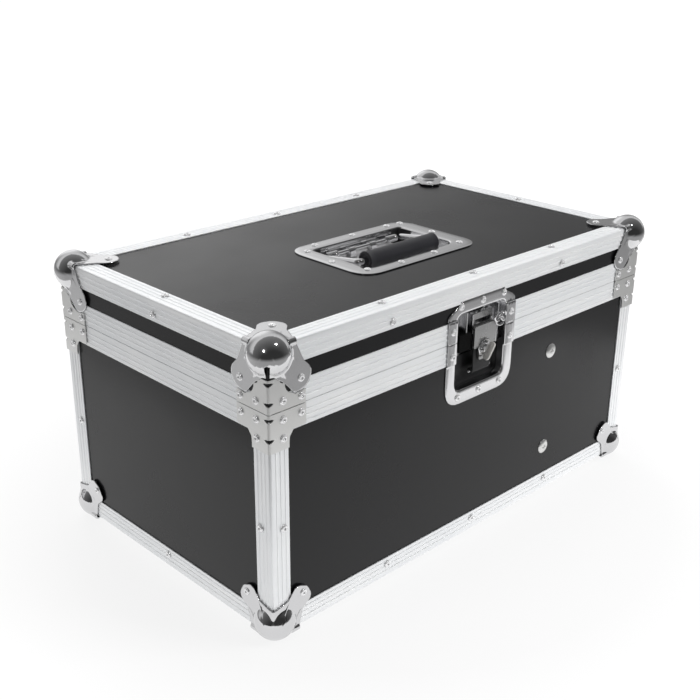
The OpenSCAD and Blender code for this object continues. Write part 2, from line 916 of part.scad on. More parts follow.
bottom_panel();
front_panel();
back_panel();
left_end_panel();
right_end_panel();
bottom_edge_front();
bottom_edge_back();
bottom_edge_left();
bottom_edge_right();
post_front_left();
post_front_right();
post_back_left();
post_back_right();
body_rim_front();
body_rim_back();
body_rim_left();
body_rim_right();
base_corner_front_left();
base_corner_front_right();
base_corner_back_left();
base_corner_back_right();
body_braces();
body_rivets();
body_lining();
divider_panel();
divider_screws();
latch_lower_dish();
latch_bumper();
latch_link();
latch_claw();
latch_wing();
hinge_body_leaves();
pivot_pins();
top_panel();
lid_strip_front();
lid_strip_back();
lid_strip_left();
lid_strip_right();
lid_edge_front();
lid_edge_back();
lid_edge_left();
lid_edge_right();
lid_rim_front();
lid_rim_back();
lid_rim_left();
lid_rim_right();
lid_corner_front_left();
lid_corner_front_right();
lid_corner_back_left();
lid_corner_back_right();
lid_braces();
lid_rivets();
lid_lining();
latch_upper_dish();
latch_keeper();
hinge_lid_leaves();
handle_dish();
handle_spring();
handle_bail();
handle_grip();
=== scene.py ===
import math

import bmesh
import bpy
from mathutils import Matrix, Vector, noise


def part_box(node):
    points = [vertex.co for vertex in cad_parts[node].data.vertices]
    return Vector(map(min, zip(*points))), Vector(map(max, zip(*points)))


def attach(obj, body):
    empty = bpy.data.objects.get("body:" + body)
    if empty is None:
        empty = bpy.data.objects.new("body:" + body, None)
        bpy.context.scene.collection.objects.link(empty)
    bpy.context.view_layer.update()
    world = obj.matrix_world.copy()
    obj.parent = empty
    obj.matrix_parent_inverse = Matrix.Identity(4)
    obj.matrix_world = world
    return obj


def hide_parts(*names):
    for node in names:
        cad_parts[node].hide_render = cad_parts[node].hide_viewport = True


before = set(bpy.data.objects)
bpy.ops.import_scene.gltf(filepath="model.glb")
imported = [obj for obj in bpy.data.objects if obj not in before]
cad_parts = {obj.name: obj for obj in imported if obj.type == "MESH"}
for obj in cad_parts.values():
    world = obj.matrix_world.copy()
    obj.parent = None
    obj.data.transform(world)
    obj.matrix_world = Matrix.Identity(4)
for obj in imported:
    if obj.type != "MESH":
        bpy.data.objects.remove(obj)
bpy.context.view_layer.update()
MM = 0.001

# ---------- measures, in millimetres

def corner_of(node, high):
    """A corner of a CAD node's box, in millimetres."""
    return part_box(node)[1 if high else 0] / MM


HX = corner_of("body_rim_front", True).x
HY = -corner_of("body_rim_front", False).y
Z0 = corner_of("bottom_edge_front", False).z
Z1 = corner_of("lid_edge_front", True).z
PART_Z = corner_of("body_braces", True).z
LID_Z = corner_of("lid_rim_front", False).z
LEG_W = 22.0
LEG_T = 1.7
PLATE_T = 1.2
PANEL_T = 7.0
BALL_R = 20.0
BEHIND = 60.0
RECESS_GAP = 1.7
SIDES = ("front", "back", "left", "right")


def rounded(points, radius, steps=4):
    """A closed outline with its corners rounded; a point's third number is its own radius."""
    out = []
    count = len(points)
    for i, point in enumerate(points):
        p = Vector(point[:2])
        r = point[2] if len(point) > 2 else radius
        a = Vector(points[i - 1][:2]) - p
        b = Vector(points[(i + 1) % count][:2]) - p
        if r <= 0 or a.length < 1e-6 or b.length < 1e-6:
            out.append((p.x, p.y))
            continue
        half = a.angle(b) / 2
        reach = min(r / math.tan(half), 0.49 * a.length, 0.49 * b.length)
        p0, p1 = p + a.normalized() * reach, p + b.normalized() * reach
        for k in range(steps + 1):
            t = k / steps
            q = p0 * (1 - t) ** 2 + p * (2 * t * (1 - t)) + p1 * t**2
            out.append((q.x, q.y))
    return out


# ---------- mesh helpers

def face_away(bm, inside):
    """Turns every face of an open sheet to look away from a point behind it."""
    bmesh.ops.recalc_face_normals(bm, faces=bm.faces)
    total = sum(f.normal.dot(f.calc_center_median() - inside) * f.calc_area() for f in bm.faces)
    if total < 0:
        bmesh.ops.reverse_faces(bm, faces=bm.faces)


def new_object(name, bm, material, sharp=35.0, inside=None):
    """A mesh object from a bmesh in millimetres, smooth but for its sharp edges."""
    bmesh.ops.remove_doubles(bm, verts=bm.verts, dist=0.002)
    if inside is None:
        bmesh.ops.recalc_face_normals(bm, faces=bm.faces)
    else:
        face_away(bm, inside)
    bmesh.ops.scale(bm, vec=(MM, MM, MM), verts=bm.verts)
    mesh = bpy.data.meshes.new(name)
    bm.to_mesh(mesh)
    bm.free()
    for polygon in mesh.polygons:
        polygon.use_smooth = True
    mesh.set_sharp_from_angle(angle=math.radians(sharp))
    mesh.materials.append(material)
    obj = bpy.data.objects.new(name, mesh)
    bpy.context.scene.collection.objects.link(obj)
    return obj


def piece(name, bm, material, body, nodes=(), sharp=35.0, inside=None):
    """A finished piece that rides on a body and stands for CAD nodes."""
    obj = new_object(name, bm, material, sharp, inside)
    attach(obj, body)
    if nodes:
        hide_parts(*nodes)
    return obj


def bevel(obj, width, segments=2, angle=40.0):
    """Rounds an object's edges, with even highlights."""
    m = obj.modifiers.new("bevel", "BEVEL")
    m.width = width * MM
    m.segments = segments
    m.limit_method = "ANGLE"
    m.angle_limit = math.radians(angle)
    m.harden_normals = True


def grid_faces(bm, rows, closed=False, gone=()):
    """Quads between rows of vertices; closed joins each row's ends.
    Quads made wholly of gone vertices are left out."""
    for a, b in zip(rows, rows[1:]):
        n = len(a)
        for j in range(n if closed else n - 1):
            k = (j + 1) % n
            quad = [a[j], a[k], b[k], b[j]]
            if len(set(quad)) == 4 and not all(v in gone for v in quad):
                bm.faces.new(quad)


def prism(bm, outline, low, high, place=None):
    """Adds a solid with a 2D outline between two heights; place maps (x, y, z) to a vector."""
    place = place or (lambda x, y, z: Vector((x, y, z)))
    bottom = [bm.verts.new(place(x, y, low)) for x, y in outline]
    top = [bm.verts.new(place(x, y, high)) for x, y in outline]
    grid_faces(bm, [bottom, top], closed=True)
    bm.faces.new(bottom)
    bm.faces.new(top)


def revolve(bm, profile, place, segments=24):
    """Adds a turned shape; the profile is a list of (radius, height)."""
    rows = []
    for r, h in profile:
        if r < 1e-6:
            v = bm.verts.new(place(0, 0, h))
            rows.append([v] * segments)
        else:
            rows.append([
                bm.verts.new(place(r * math.cos(a), r * math.sin(a), h))
                for a in (2 * math.pi * k / segments for k in range(segments))
            ])
    for a, b in zip(rows, rows[1:]):
        for j in range(segments):
            k = (j + 1) % segments
            corners = [a[j], a[k], b[k], b[j]]
            unique = [v for i, v in enumerate(corners) if v not in corners[:i]]
            if len(unique) > 2:
                bm.faces.new(unique)


def tube(bm, path, radius, sides=12, closed=False):
    """Adds a round rod along a list of points."""
    points = [Vector(p) for p in path]
    count = len(points)
    rows = []
    normal = None
    for i, p in enumerate(points):
        if closed:
            tangent = (points[(i + 1) % count] - points[i - 1]).normalized()
        else:
            tangent = (points[min(i + 1, count - 1)] - points[max(i - 1, 0)]).normalized()
        if normal is None:
            normal = tangent.orthogonal().normalized()
        normal = (normal - tangent * normal.dot(tangent)).normalized()
        side = tangent.cross(normal)
        rows.append([
            bm.verts.new(p + (normal * math.cos(a) + side * math.sin(a)) * radius)
            for a in (2 * math.pi * k / sides for k in range(sides))
        ])
    if closed:
        rows.append(rows[0])
    grid_faces(bm, rows, closed=True)
    if not closed:
        bm.faces.new(rows[0])
        bm.faces.new(rows[-1])


def on_front(x, z, out=0.0):
    """A place function for shapes on the front face; its third number points out of the case."""
    return lambda a, b, c: Vector((x + a, -HY - out - c, z + b))


def upright(a, b, z):
    """A place function for prisms that stand on the front face; b points out of the case."""
    return Vector((a, -HY - b, z))


# ---------- materials

def settle(tree, node, **values):
    """Sets up a node. A name that starts with in_ is an input: it takes a value or another node's output."""
    for key, value in values.items():
        if not key.startswith("in_"):
            setattr(node, key, value)
            continue
        socket = node.inputs[key[3:].replace("_", " ")]
        if isinstance(value, bpy.types.NodeSocket):
            tree.links.new(value, socket)
        else:
            socket.default_value = value
    return node


def add(tree, kind, **values):
    """A new node with its settings."""
    return settle(tree, tree.nodes.new(kind), **values)


def node_material(name, colour, metallic, roughness):
    """A Principled material and the handles that build on it."""
    m = bpy.data.materials.new(name)
    m.use_nodes = True
    tree = m.node_tree
    shader = tree.nodes["Principled BSDF"]
    settle(tree, shader, in_Base_Color=(*colour, 1), in_Metallic=metallic, in_Roughness=roughness)
    return m, tree, shader


def object_noise(tree, scale, stretch=(1, 1, 1), detail=4.0, rough=0.55):
    """A noise texture in the object's own space, scale in features per metre."""
    where = add(tree, "ShaderNodeTexCoord").outputs["Object"]
    mapping = add(tree, "ShaderNodeMapping", in_Vector=where, in_Scale=[scale * s for s in stretch])
    texture = add(tree, "ShaderNodeTexNoise", in_Vector=mapping.outputs["Vector"], in_Scale=1.0,
                  in_Detail=detail, in_Roughness=rough)
    return texture.outputs["Fac"]


def remap(tree, value, low, high, to_low, to_high):
    """A value carried from one range to another, and kept inside it."""
    node = add(tree, "ShaderNodeMapRange", in_Value=value, in_From_Min=low, in_From_Max=high,
               in_To_Min=to_low, in_To_Max=to_high)
    return node.outputs["Result"]


def tint(tree, value, dark, light):
    """A colour that runs from dark to light with a value."""
    ramp = add(tree, "ShaderNodeValToRGB", in_Fac=value)
    ramp.color_ramp.elements[0].color = (*dark, 1)
    ramp.color_ramp.elements[1].color = (*light, 1)
    return ramp.outputs["Color"]


def bump(tree, shader, heights, depths, strength):
    """Bumps from a list of heights, one over another, each with its depth in metres."""
    last = None
    for height, depth in zip(heights, depths):
        node = add(tree, "ShaderNodeBump", in_Strength=strength, in_Distance=depth, in_Height=height)
        if last is not None:
            settle(tree, node, in_Normal=last.outputs["Normal"])
        last = node
    settle(tree, shader, in_Normal=last.outputs["Normal"])


def aluminium(name, along):
    """Clear anodised extrusion, drawn along one axis: half metal, half the pale bloom of the oxide."""
    m, tree, shader = node_material(name, (0.88, 0.89, 0.9), 0.55, 0.4)
    fine = [1.0 if i != along else 0.008 for i in range(3)]
    drawn = object_noise(tree, 2600, fine, 3)
    streak = object_noise(tree, 260, fine, 4)
    cloud = object_noise(tree, 14, (1, 1, 1), 5)
    both = add(tree, "ShaderNodeMath", operation="MULTIPLY")
    tree.links.new(streak, both.inputs[0])
    tree.links.new(cloud, both.inputs[1])
    bloom = remap(tree, both.outputs[0], 0.12, 0.42, 0, 1)
    colour = tint(tree, bloom, (0.8, 0.815, 0.83), (0.9, 0.905, 0.91))
    settle(tree, shader, in_Base_Color=colour, in_Roughness=remap(tree, drawn, 0.3, 0.7, 0.36, 0.5))
    bump(tree, shader, [drawn], [0.00002], 0.4)
    return m


def plated(name, colour, low, high, metallic=1.0, pebble=0.0):
    """Plated steel: a clear reflection that handling softens here and there."""
    m, tree, shader = node_material(name, colour, metallic, low)
    marks = object_noise(tree, 45, (1, 1, 1), 5)
    fine = object_noise(tree, 700, (1, 1, 1), 2)
    tinted = tint(tree, marks, tuple(0.93 * c for c in colour), colour)
    settle(tree, shader, in_Base_Color=tinted, in_Roughness=remap(tree, marks, 0.4, 0.68, low, high))
    bump(tree, shader, [marks, fine], [0.00003 + pebble, 0.000004], 0.3)
    return m


def laminate(name, colour, rough):
    """Dark laminate with a fine leather-like grain."""
    m, tree, shader = node_material(name, colour, 0.0, rough)
    grain = object_noise(tree, 1400, (1, 1, 1), 3)
    cloud = object_noise(tree, 9, (1, 1, 1), 4)
    settle(tree, shader, in_Base_Color=tint(tree, cloud, colour, tuple(1.25 * c for c in colour)),
           in_Roughness=remap(tree, cloud, 0.3, 0.7, rough - 0.05, rough + 0.05), in_IOR=1.34)
    bump(tree, shader, [grain], [0.00004], 0.45)
    return m


def rubber(name, colour, rough, shine=0.5):
    """Matt rubber with a fine grain; shine scales its reflection."""
    m, tree, shader = node_material(name, colour, 0.0, rough)
    grain = object_noise(tree, 1800, (1, 1, 1), 3)
    cloud = object_noise(tree, 40, (1, 1, 1), 4)
    settle(tree, shader, in_Base_Color=tint(tree, cloud, colour, tuple(1.6 * c for c in colour)),
           in_Roughness=remap(tree, cloud, 0.3, 0.7, rough - 0.06, rough + 0.08), in_Specular_IOR_Level=shine)
    bump(tree, shader, [grain], [0.00005], 0.5)
    return m


def foam(name, colour):
    """Closed-cell foam: a voronoi of small cells over soft unevenness."""
    m, tree, shader = node_material(name, colour, 0.0, 0.9)
    where = add(tree, "ShaderNodeTexCoord").outputs["Object"]
    cells = add(tree, "ShaderNodeTexVoronoi", in_Vector=where, in_Scale=900.0)
    soft = object_noise(tree, 30, (1, 1, 1), 4)
    settle(tree, shader, in_Base_Color=tint(tree, soft, colour, tuple(1.7 * c for c in colour)),
           in_Sheen_Weight=0.25, in_Sheen_Roughness=0.5)
    bump(tree, shader, [soft, cells.outputs["Distance"]], [0.0006, 0.0002], 0.5)
    return m


ALU = [aluminium("aluminium_along_" + "xyz"[i], i) for i in range(3)]
CHROME = plated("bright_plate", (0.7, 0.7, 0.71), 0.1, 0.17)
SATIN = plated("satin_plate", (0.78, 0.78, 0.77), 0.28, 0.36, 0.88)
RIVET_STEEL = plated("rivet_plate", (0.9, 0.9, 0.91), 0.16, 0.26, 0.65)
CAST = plated("cast_zinc", (0.74, 0.72, 0.69), 0.38, 0.5, 0.6, 0.0001)
DARK_STEEL = plated("latch_plate", (0.42, 0.42, 0.42), 0.22, 0.32, 0.9)
# painted shade: a near-black plating laid on places that should read as shadow, such as behind slits, deep in
# the latch pan, on the latch link and in the handle dish's back corners
PAINTED_SHADE = plated("painted_shade_black", (0.02, 0.02, 0.021), 0.5, 0.65, 0.3)
WIRE = plated("spring_wire", (0.82, 0.82, 0.83), 0.12, 0.25)
BLACK = laminate("black_laminate", (0.004, 0.004, 0.0045), 0.24)
PLY = laminate("inner_ply", (0.02, 0.019, 0.018), 0.55)
GRIP = rubber("grip_rubber", (0.012, 0.012, 0.014), 0.42)
BUMPER = rubber("bumper_rubber", (0.002, 0.002, 0.002), 0.8, 0.15)
FOAM = foam("foam_lining", (0.02, 0.02, 0.024))


# ---------- CAD nodes that stay

def dress(name, material, width=0.0):
    """Gives a CAD node its material and, with a width, rounded edges."""
    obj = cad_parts[name]
    obj.data.materials.clear()
    obj.data.materials.append(material)
    if width:
        weld = obj.modifiers.new("weld", "WELD")
        weld.merge_threshold = 0.002 * MM
        bevel(obj, width, 2, 20.0)


def dress_frame():
    """The frame, panels, hinges and latch parts that are the CAD's own shapes."""
    edge_round = 0.22
    for side in SIDES:
        along = ALU[0] if side in ("front", "back") else ALU[1]
        for part in ("bottom_edge", "body_rim", "lid_edge", "lid_rim"):
            dress(f"{part}_{side}", along, edge_round)
        dress("lid_strip_" + side, BLACK)
    for place in ("front_left", "front_right", "back_left", "back_right"):
        dress("post_" + place, ALU[2], edge_round)
    for name in ("front", "back", "left_end", "right_end", "top", "bottom"):
        dress(name + "_panel", BLACK)
    dress("divider_panel", PLY, 0.6)
    dress("hinge_body_leaves", SATIN, 0.25)
    dress("hinge_lid_leaves", SATIN, 0.25)
    dress("pivot_pins", CHROME, 0.2)
    # painted shade: the latch link takes the near-black plating so that it reads as the dark pan below the
    # hub
    dress("latch_link", PAINTED_SHADE, 0.3)
    dress("latch_claw", DARK_STEEL, 0.35)


def islands(node):
    """The (lowest, highest) corners of each separate solid of a CAD node, in millimetres."""
    bm = bmesh.new()
    bm.from_mesh(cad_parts[node].data)
    bmesh.ops.remove_doubles(bm, verts=bm.verts, dist=0.002 * MM)
    left = set(bm.verts)
    found = []
    while left:
        group, stack = [], [left.pop()]
        while stack:
            v = stack.pop()
            group.append(v.co / MM)
            for e in v.link_edges:
                other = e.other_vert(v)
                if other in left:
                    left.remove(other)
                    stack.append(other)
        low = Vector(min(c[i] for c in group) for i in range(3))
        high = Vector(max(c[i] for c in group) for i in range(3))
        found.append((low, high))
    bm.free()
    return sorted(found, key=lambda box: tuple(box[0]))


# ---------- rivets and screws

RIVET = [(0, 0.3), (0.7, 0.32), (1.1, 0.6), (1.35, 1.1), (1.75, 1.4), (2.4, 1.42), (3.1, 1.15),
         (3.6, 0.7), (3.85, 0.25), (3.9, -0.1)]


def seat(low, high):
    """Where a flat round head sits: a place function whose third number points out of the case."""
    size = high - low
    axis = min(range(3), key=lambda i: size[i])
    centre = (low + high) / 2
    case_middle = (0, 0, PART_Z)
    sign = 1 if centre[axis] > case_middle[axis] else -1
    base = low[axis] if sign > 0 else high[axis]
    u, v = [i for i in range(3) if i != axis]

    def place(a, b, c):
        p = [0.0, 0.0, 0.0]
        p[u], p[v], p[axis] = centre[u] + a, centre[v] + b, base + sign * c
        return Vector(p)
    return place


def rivets(node, body):
    """A set rivet head, with its dimple, on every seat of a CAD node."""
    bm = bmesh.new()
    for low, high in islands(node):
        revolve(bm, RIVET, seat(low, high), 28)
    piece(node + "_heads", bm, RIVET_STEEL, body, [node], 50)


def screw_heads():
    """Wide domed heads with a cross recess, joining the divider to the walls."""
    bm = bmesh.new()
    rings = [0.0, 0.8, 1.6, 2.4, 3.0, 3.8, 5.0, 6.2, 7.2, 7.9, 8.25, 8.25]
    dome_r, dome_h, cross_r, cross_h = 8.4, 2.5, 3.3, 1.3
    count = 48
    for low, high in islands("divider_screws"):
        place = seat(low, high)
        rows = []
        for i, r in enumerate(rings):
            dome = dome_h * math.sqrt(max(0.0, 1 - (r / dome_r) ** 2)) if i < len(rings) - 1 else -0.1
            row = []
            for k in range(count):
                a = 2 * math.pi * k / count + 0.5
                slot = max(abs(math.cos(a)), abs(math.sin(a))) ** 40 * max(0.0, 1 - (r / cross_r) ** 4)
                deep = cross_h * (slot if r > 0 else 1.0)
                row.append(bm.verts.new(place(r * math.cos(a), r * math.sin(a), dome - deep)))
            rows.append(row)
        grid_faces(bm, rows, closed=True)
    piece("divider_screw_heads", bm, SATIN, "case_body", ["divider_screws"], 40)


# ---------- ball corners and braces

def ray_hit(outline, centre, angle):
    """Distance from a centre to a closed outline along an angle."""
    cx, cy = centre
    dx, dy = math.cos(angle), math.sin(angle)
    best = None
    for (ax, ay), (bx, by) in zip(outline, outline[1:] + outline[:1]):
        ex, ey = bx - ax, by - ay
        det = dx * ey - dy * ex
        if abs(det) < 1e-12:
            continue
        t = ((ax - cx) * ey - (ay - cy) * ex) / det
        s = ((ax - cx) * dy - (ay - cy) * dx) / det
        if t > 1e-6 and -1e-9 <= s <= 1 + 1e-9 and (best is None or t < best):
            best = t
    return best


def smooth(x, low, high):
    """0 below low, 1 above high, and an even slope between."""
    t = min(1.0, max(0.0, (x - low) / (high - low)))
    return t * t * (3 - 2 * t)


ROLL_R = 3.6
ROLL_IN = 0.6
CLIP_FROM = 20.0
CLIP_TO = 31.0
SLOT_W = 1.4
NO_SLOT = 99.0
CORNER_FOLD_R = 2.2
LEAF_END = 31.0
LOBE = [(45, 25.5, 4), (48.5, 33, 6), (45.5, 41.5, 6), (41.5, 45.5, 6)]
LID_SIDE = [(LEAF_END, 3, 1.5), (39.5, 21, 1.2), *LOBE]
LID_DOWN = [(33, 48.3, 5), (27, 47, 4), (23.5, 43.7, 2), (18, 35.5, 2), (10.4, 31, 1.5), (6, 27.2, 2)]
BASE_SIDE = [(LEAF_END, 3, 1.5), (34.5, 18, 2), (43.5, 23, 3), (46, 31, 5), (41, 41, 8)]


def swapped(points):
    """A half outline seen from the other side of the diagonal."""
    return [(p[1], p[0], *p[2:]) for p in reversed(points)]


def leaf_outline(first, second, end_a, end_b):
    """A leaf between its two folds: first runs out from fold a, second runs back to fold b."""
    t = PLATE_T
    return rounded([(-t, -t, 0), (end_a, -t, 0), *first, *second, (-t, end_b, 0)], 0)


def fold_over(p, q, radius):
    """Rounds the fold where two leaves meet: p and q are depths behind the two planes, one of them 0."""
    if max(p, q) >= radius:
        return p, q
    turn = math.pi / 4 * (1 - max(p, q) / radius)
    near, far = radius * (1 - math.cos(turn)), radius * (1 - math.sin(turn))
    return (far, near) if p >= q else (near, far)


def ball_corner(bm, ball_in, leaves, slot_from, sx, sy, top):
    """A pressed ball corner: a ball blended into three leaves, with rolled clips and an open fold.
    Each leaf is a fan of points from the corner, closer together beside its two folds."""
    t = PLATE_T
    centre = Vector((ball_in,) * 3)
    steps, rows = 56, 52
    square = math.pi / 2
    turns = [square * (u - 0.8 * math.sin(2 * math.pi * u) / (2 * math.pi))
             for u in (k / steps for k in range(steps + 1))]
    for face in range(3):
        a_axis, b_axis = (face + 1) % 3, (face + 2) % 3
        reach = [ray_hit(leaves[face], (-t, -t), min(max(turn, 1e-5), square - 1e-5)) for turn in turns]
        grid, gone = [], set()
        for i in range(rows + 1):
            line = []
            for turn, length in zip(turns, reach):
                d = length * i / rows
                depth = [0.0, 0.0, 0.0]
                depth[a_axis] = d * math.cos(turn)
                depth[b_axis] = d * math.sin(turn)
                if turn < 1e-6:
                    depth[b_axis] = 0.0
                if square - turn < 1e-6:
                    depth[a_axis] = 0.0
                place, swallowed = corner_point(depth, face, centre, slot_from, sx, sy, top)
                line.append(bm.verts.new(place))
                if swallowed:
                    gone.add(line[-1])
            grid.append(line)
        grid_faces(bm, grid, gone=gone)
    loose = [v for v in bm.verts if not v.link_faces]
    bmesh.ops.delete(bm, geom=loose, context="VERTS")


def corner_point(depth, face, centre, slot_from, sx, sy, top):
    """Where a point of the flat pattern ends up, and whether the slot swallows it.
    The point is folded, pushed out by the ball, then placed; the sharp tip is drawn onto the ball."""
    t = PLATE_T
    fold_from, tip = 8.0, 6.0
    along_z = depth[2] - t
    opening = t + SLOT_W * smooth(along_z, slot_from, slot_from + 0.9)
    swallowed = False
    for axis in (0, 1):
        if axis != face and 2 != face and along_z > slot_from and depth[axis] < opening:
            swallowed = True
            depth[axis] = opening
    others = [i for i in range(3) if i != face]
    fold_axis = min(others, key=lambda i: depth[i])
    run_axis = max(others, key=lambda i: depth[i])
    if depth[run_axis] > fold_from:
        depth[fold_axis], depth[face] = fold_over(depth[fold_axis], 0.0, CORNER_FOLD_R)
    p = Vector(d - t for d in depth)
    s = p[run_axis]
    if run_axis != 2:
        bead = smooth(s, CLIP_FROM, CLIP_FROM + 1.5) * (1 - smooth(s, CLIP_TO - 0.8, CLIP_TO + 0.2))
        q = Vector((p[fold_axis] - ROLL_IN, p[face] - ROLL_IN))
        if bead > 0 and 1e-6 < q.length < ROLL_R:
            q = q.normalized() * (q.length + (ROLL_R - q.length) * bead)
            p[fold_axis], p[face] = q.x + ROLL_IN, q.y + ROLL_IN
    out = p - centre
    blend = 2.2 * smooth(max(p), 5.0, 12.0)
    r = out.length
    grown = BALL_R if max(p) < tip else max(r, BALL_R)
    if blend > 0:
        near = max(0.0, blend - abs(r - BALL_R)) / blend
        grown += near * near * blend / 4
    p = centre + out * (grown / r)
    z = Z1 - p.z if top else max(0.0, Z0 + p.z)
    return Vector((sx * (HX - p.x), sy * (HY - p.y), z)), swallowed


def thickness(obj, amount):
    """Sheet metal: a real thickness behind the outer face."""
    m = obj.modifiers.new("sheet", "SOLIDIFY")
    m.thickness = amount * MM
    m.offset = -1
    m.use_even_offset = False


def even_shading(obj):
    """Lets large flat faces rule the shading of the small ones beside them."""
    m = obj.modifiers.new("even", "WEIGHTED_NORMAL")
    m.keep_sharp = True
    m.weight = 100


def corners():
    """Eight ball corners: the lid's have slotted folds, the base's closed ones."""
    lid_top = leaf_outline(LID_SIDE, swapped(LID_SIDE[:-2]), LEAF_END, LEAF_END)
    lid_end = leaf_outline(LID_SIDE, LID_DOWN, LEAF_END, 26.6)
    lid_front = [(b, a) for a, b in reversed(lid_end)]
    base = leaf_outline(BASE_SIDE, swapped(BASE_SIDE[:-1]), LEAF_END, LEAF_END)
    lid_leaves, base_leaves = (lid_end, lid_front, lid_top), (base, base, base)
    for sx, sy, place in ((-1, -1, "front_left"), (1, -1, "front_right"),
                          (-1, 1, "back_left"), (1, 1, "back_right")):
        for kind, body, ball_in, leaves, slot_from, z in (
            ("lid", "lid", 10.0, lid_leaves, 13.0, Z1 - BEHIND),
            ("base", "case_body", 11.7, base_leaves, NO_SLOT, Z0 + BEHIND),
        ):
            bm = bmesh.new()
            ball_corner(bm, ball_in, leaves, slot_from, sx, sy, kind == "lid")
            obj = piece(f"{kind}_ball_corner_{place}", bm, CHROME, body, [f"{kind}_corner_{place}"],
                        60, Vector((sx * (HX - BEHIND), sy * (HY - BEHIND), z)))
            thickness(obj, PLATE_T - 0.15)


FOLD_R = 2.0
FOLD_L = FOLD_R * math.pi / 2


def fold_point(u):
    """Distances behind the two face planes of a point on a bent plate, u along it from the fold."""
    if abs(u) >= FOLD_L / 2:
        flat = abs(u) - FOLD_L / 2 + FOLD_R - PLATE_T
        return (flat, -PLATE_T) if u > 0 else (-PLATE_T, flat)
    turn = math.pi / 4 - math.pi / 2 * u / FOLD_L
    c = FOLD_R - PLATE_T
    return c - FOLD_R * math.sin(turn), c - FOLD_R * math.cos(turn)


def unfold(a):
    """How far along the flat plate a point lies that ends up a distance behind the face."""
    return a + PLATE_T - FOLD_R + FOLD_L / 2


def lens(half, centre_v, height):
    """A lens-shaped relief slit across the fold."""
    upper = [(half * k / 6, centre_v - height * 0.35 * (1 - (k / 6) ** 2)) for k in range(-6, 7)]
    lower = [(half * k / 6, centre_v + height * 0.65 * (1 - (k / 6) ** 2)) for k in range(5, -6, -1)]
    return upper + lower


def brace(bm, half_outline, slits, sx, sy, z):
    """A bent plate over an upright edge; the half outline runs from the fold out and back, v downwards."""
    right = [(unfold(a) if a > 0.01 else 0.0, v) for a, v in half_outline]
    loop = right + [(-u, v) for u, v in reversed(right[1:-1])]
    edges = []
    for points in [loop, *(lens(*s) for s in slits)]:
        verts = [bm.verts.new((u, v, 0)) for u, v in points]
        edges += [bm.edges.new((verts[i - 1], verts[i])) for i in range(len(verts))]
    made = bmesh.ops.triangle_fill(bm, edges=edges, use_beauty=True, use_dissolve=False)
    flat = [g for g in made["geom"] if isinstance(g, bmesh.types.BMFace)]
    verts = {v for f in flat for v in f.verts}
    for k in range(-4, 5):
        u = FOLD_L / 2 * k / 4
        edges = {e for v in verts for e in v.link_edges}
        faces = {f for v in verts for f in v.link_faces}
        cut = bmesh.ops.bisect_plane(bm, geom=list({*verts, *edges, *faces}), plane_co=(u, 0, 0),
                                     plane_no=(1, 0, 0), dist=0.0005)
        verts |= {g for g in cut["geom_cut"] if isinstance(g, bmesh.types.BMVert)}
    for v in verts:
        a, b = fold_point(v.co.x)
        v.co = Vector((sx * (HX - a), sy * (HY - b), z - v.co.y))


def painted_shade_backing(bm, patches, strips, sx, sy, z):
    """Painted shade behind the slots and slits: near-black patches on the faces, strips bent over the edge.
    """

    def on_long_side(a, v, out):
        return Vector((sx * (HX - a), sy * (HY + out), z - v))

    def on_end(a, v, out):
        return Vector((sx * (HX + out), sy * (HY - a), z - v))

    for a0, a1, v0, v1 in patches:
        square = [(a0, v0), (a1, v0), (a1, v1), (a0, v1)]
        prism(bm, square, -0.3, 0.08, on_long_side)
        prism(bm, square, -0.3, 0.08, on_end)
    section = rounded([(-0.06, 8, 0), (-0.06, -0.06, 2.2), (8, -0.06, 0), (8, 1, 0), (1, 1, 2), (1, 8, 0)], 0)
    for v0, v1 in strips:
        prism(bm, section, v0, v1, lambda a, b, v: Vector((sx * (HX - a), sy * (HY - b), z - v)))


def braces():
    """Four bent plates on the lid's upright edges and four on the body's, with painted shade behind the slots
    and slits.
    """
    lid_half = [(0, 28.8), (7.5, 28.8), (9.5, 30.6), (12.3, 32.2), (12.4, 33.6), (15.6, 35.3), (16.4, 34.4),
                (17.6, 36.6), (17.9, 39.5), (19.6, 43.0), (22.0, 45.4), (26.0, 47.4), (29.5, 49.2),
                (41.4, 47.6), (41.4, 60.4), (0, 60.4)]
    body_half = [(0, 0), (41.6, 0), (41.6, 18), (40, 20.4), (27, 20.5), (22.5, 26.5), (22, 31),
                 (22, 37), (0, 37)]
    for name, body, half, slits, z in (
        ("lid_braces", "lid", lid_half, [(5.6, 32.4, 3.6), (5.6, 50.8, 3.6)], Z1),
        ("body_braces", "case_body", body_half, [(5.6, 5.0, 3.6), (5.6, 24.2, 3.6)], PART_Z),
    ):
        for sx in (-1, 1):
            for sy in (-1, 1):
                bm = bmesh.new()
                brace(bm, half, slits, sx, sy, z)
                place = ("front" if sy < 0 else "back") + ("_left" if sx < 0 else "_right")
                obj = piece(f"{name[:-1]}_{place}", bm, SATIN, body, [name], 35,
                            Vector((sx * (HX - BEHIND), sy * (HY - BEHIND), z - 40)))
                thickness(obj, PLATE_T - 0.1)
                bevel(obj, 0.18, 2, 50)
                even_shading(obj)
    # near-black pieces hidden under the plates, painting the shade seen through the slots and slits
    for body, patches, strips, z in (("lid", [(10.5, 25, 31.5, 45.5)], [(11, 54)], Z1),
                                     ("case_body", [], [(2, 30)], PART_Z)):
        bm = bmesh.new()
        for sx in (-1, 1):
            for sy in (-1, 1):
                painted_shade_backing(bm, patches, strips, sx, sy, z)
        piece("dark_backing_" + body, bm, PAINTED_SHADE, body, (), 35)


# ---------- pressed dishes

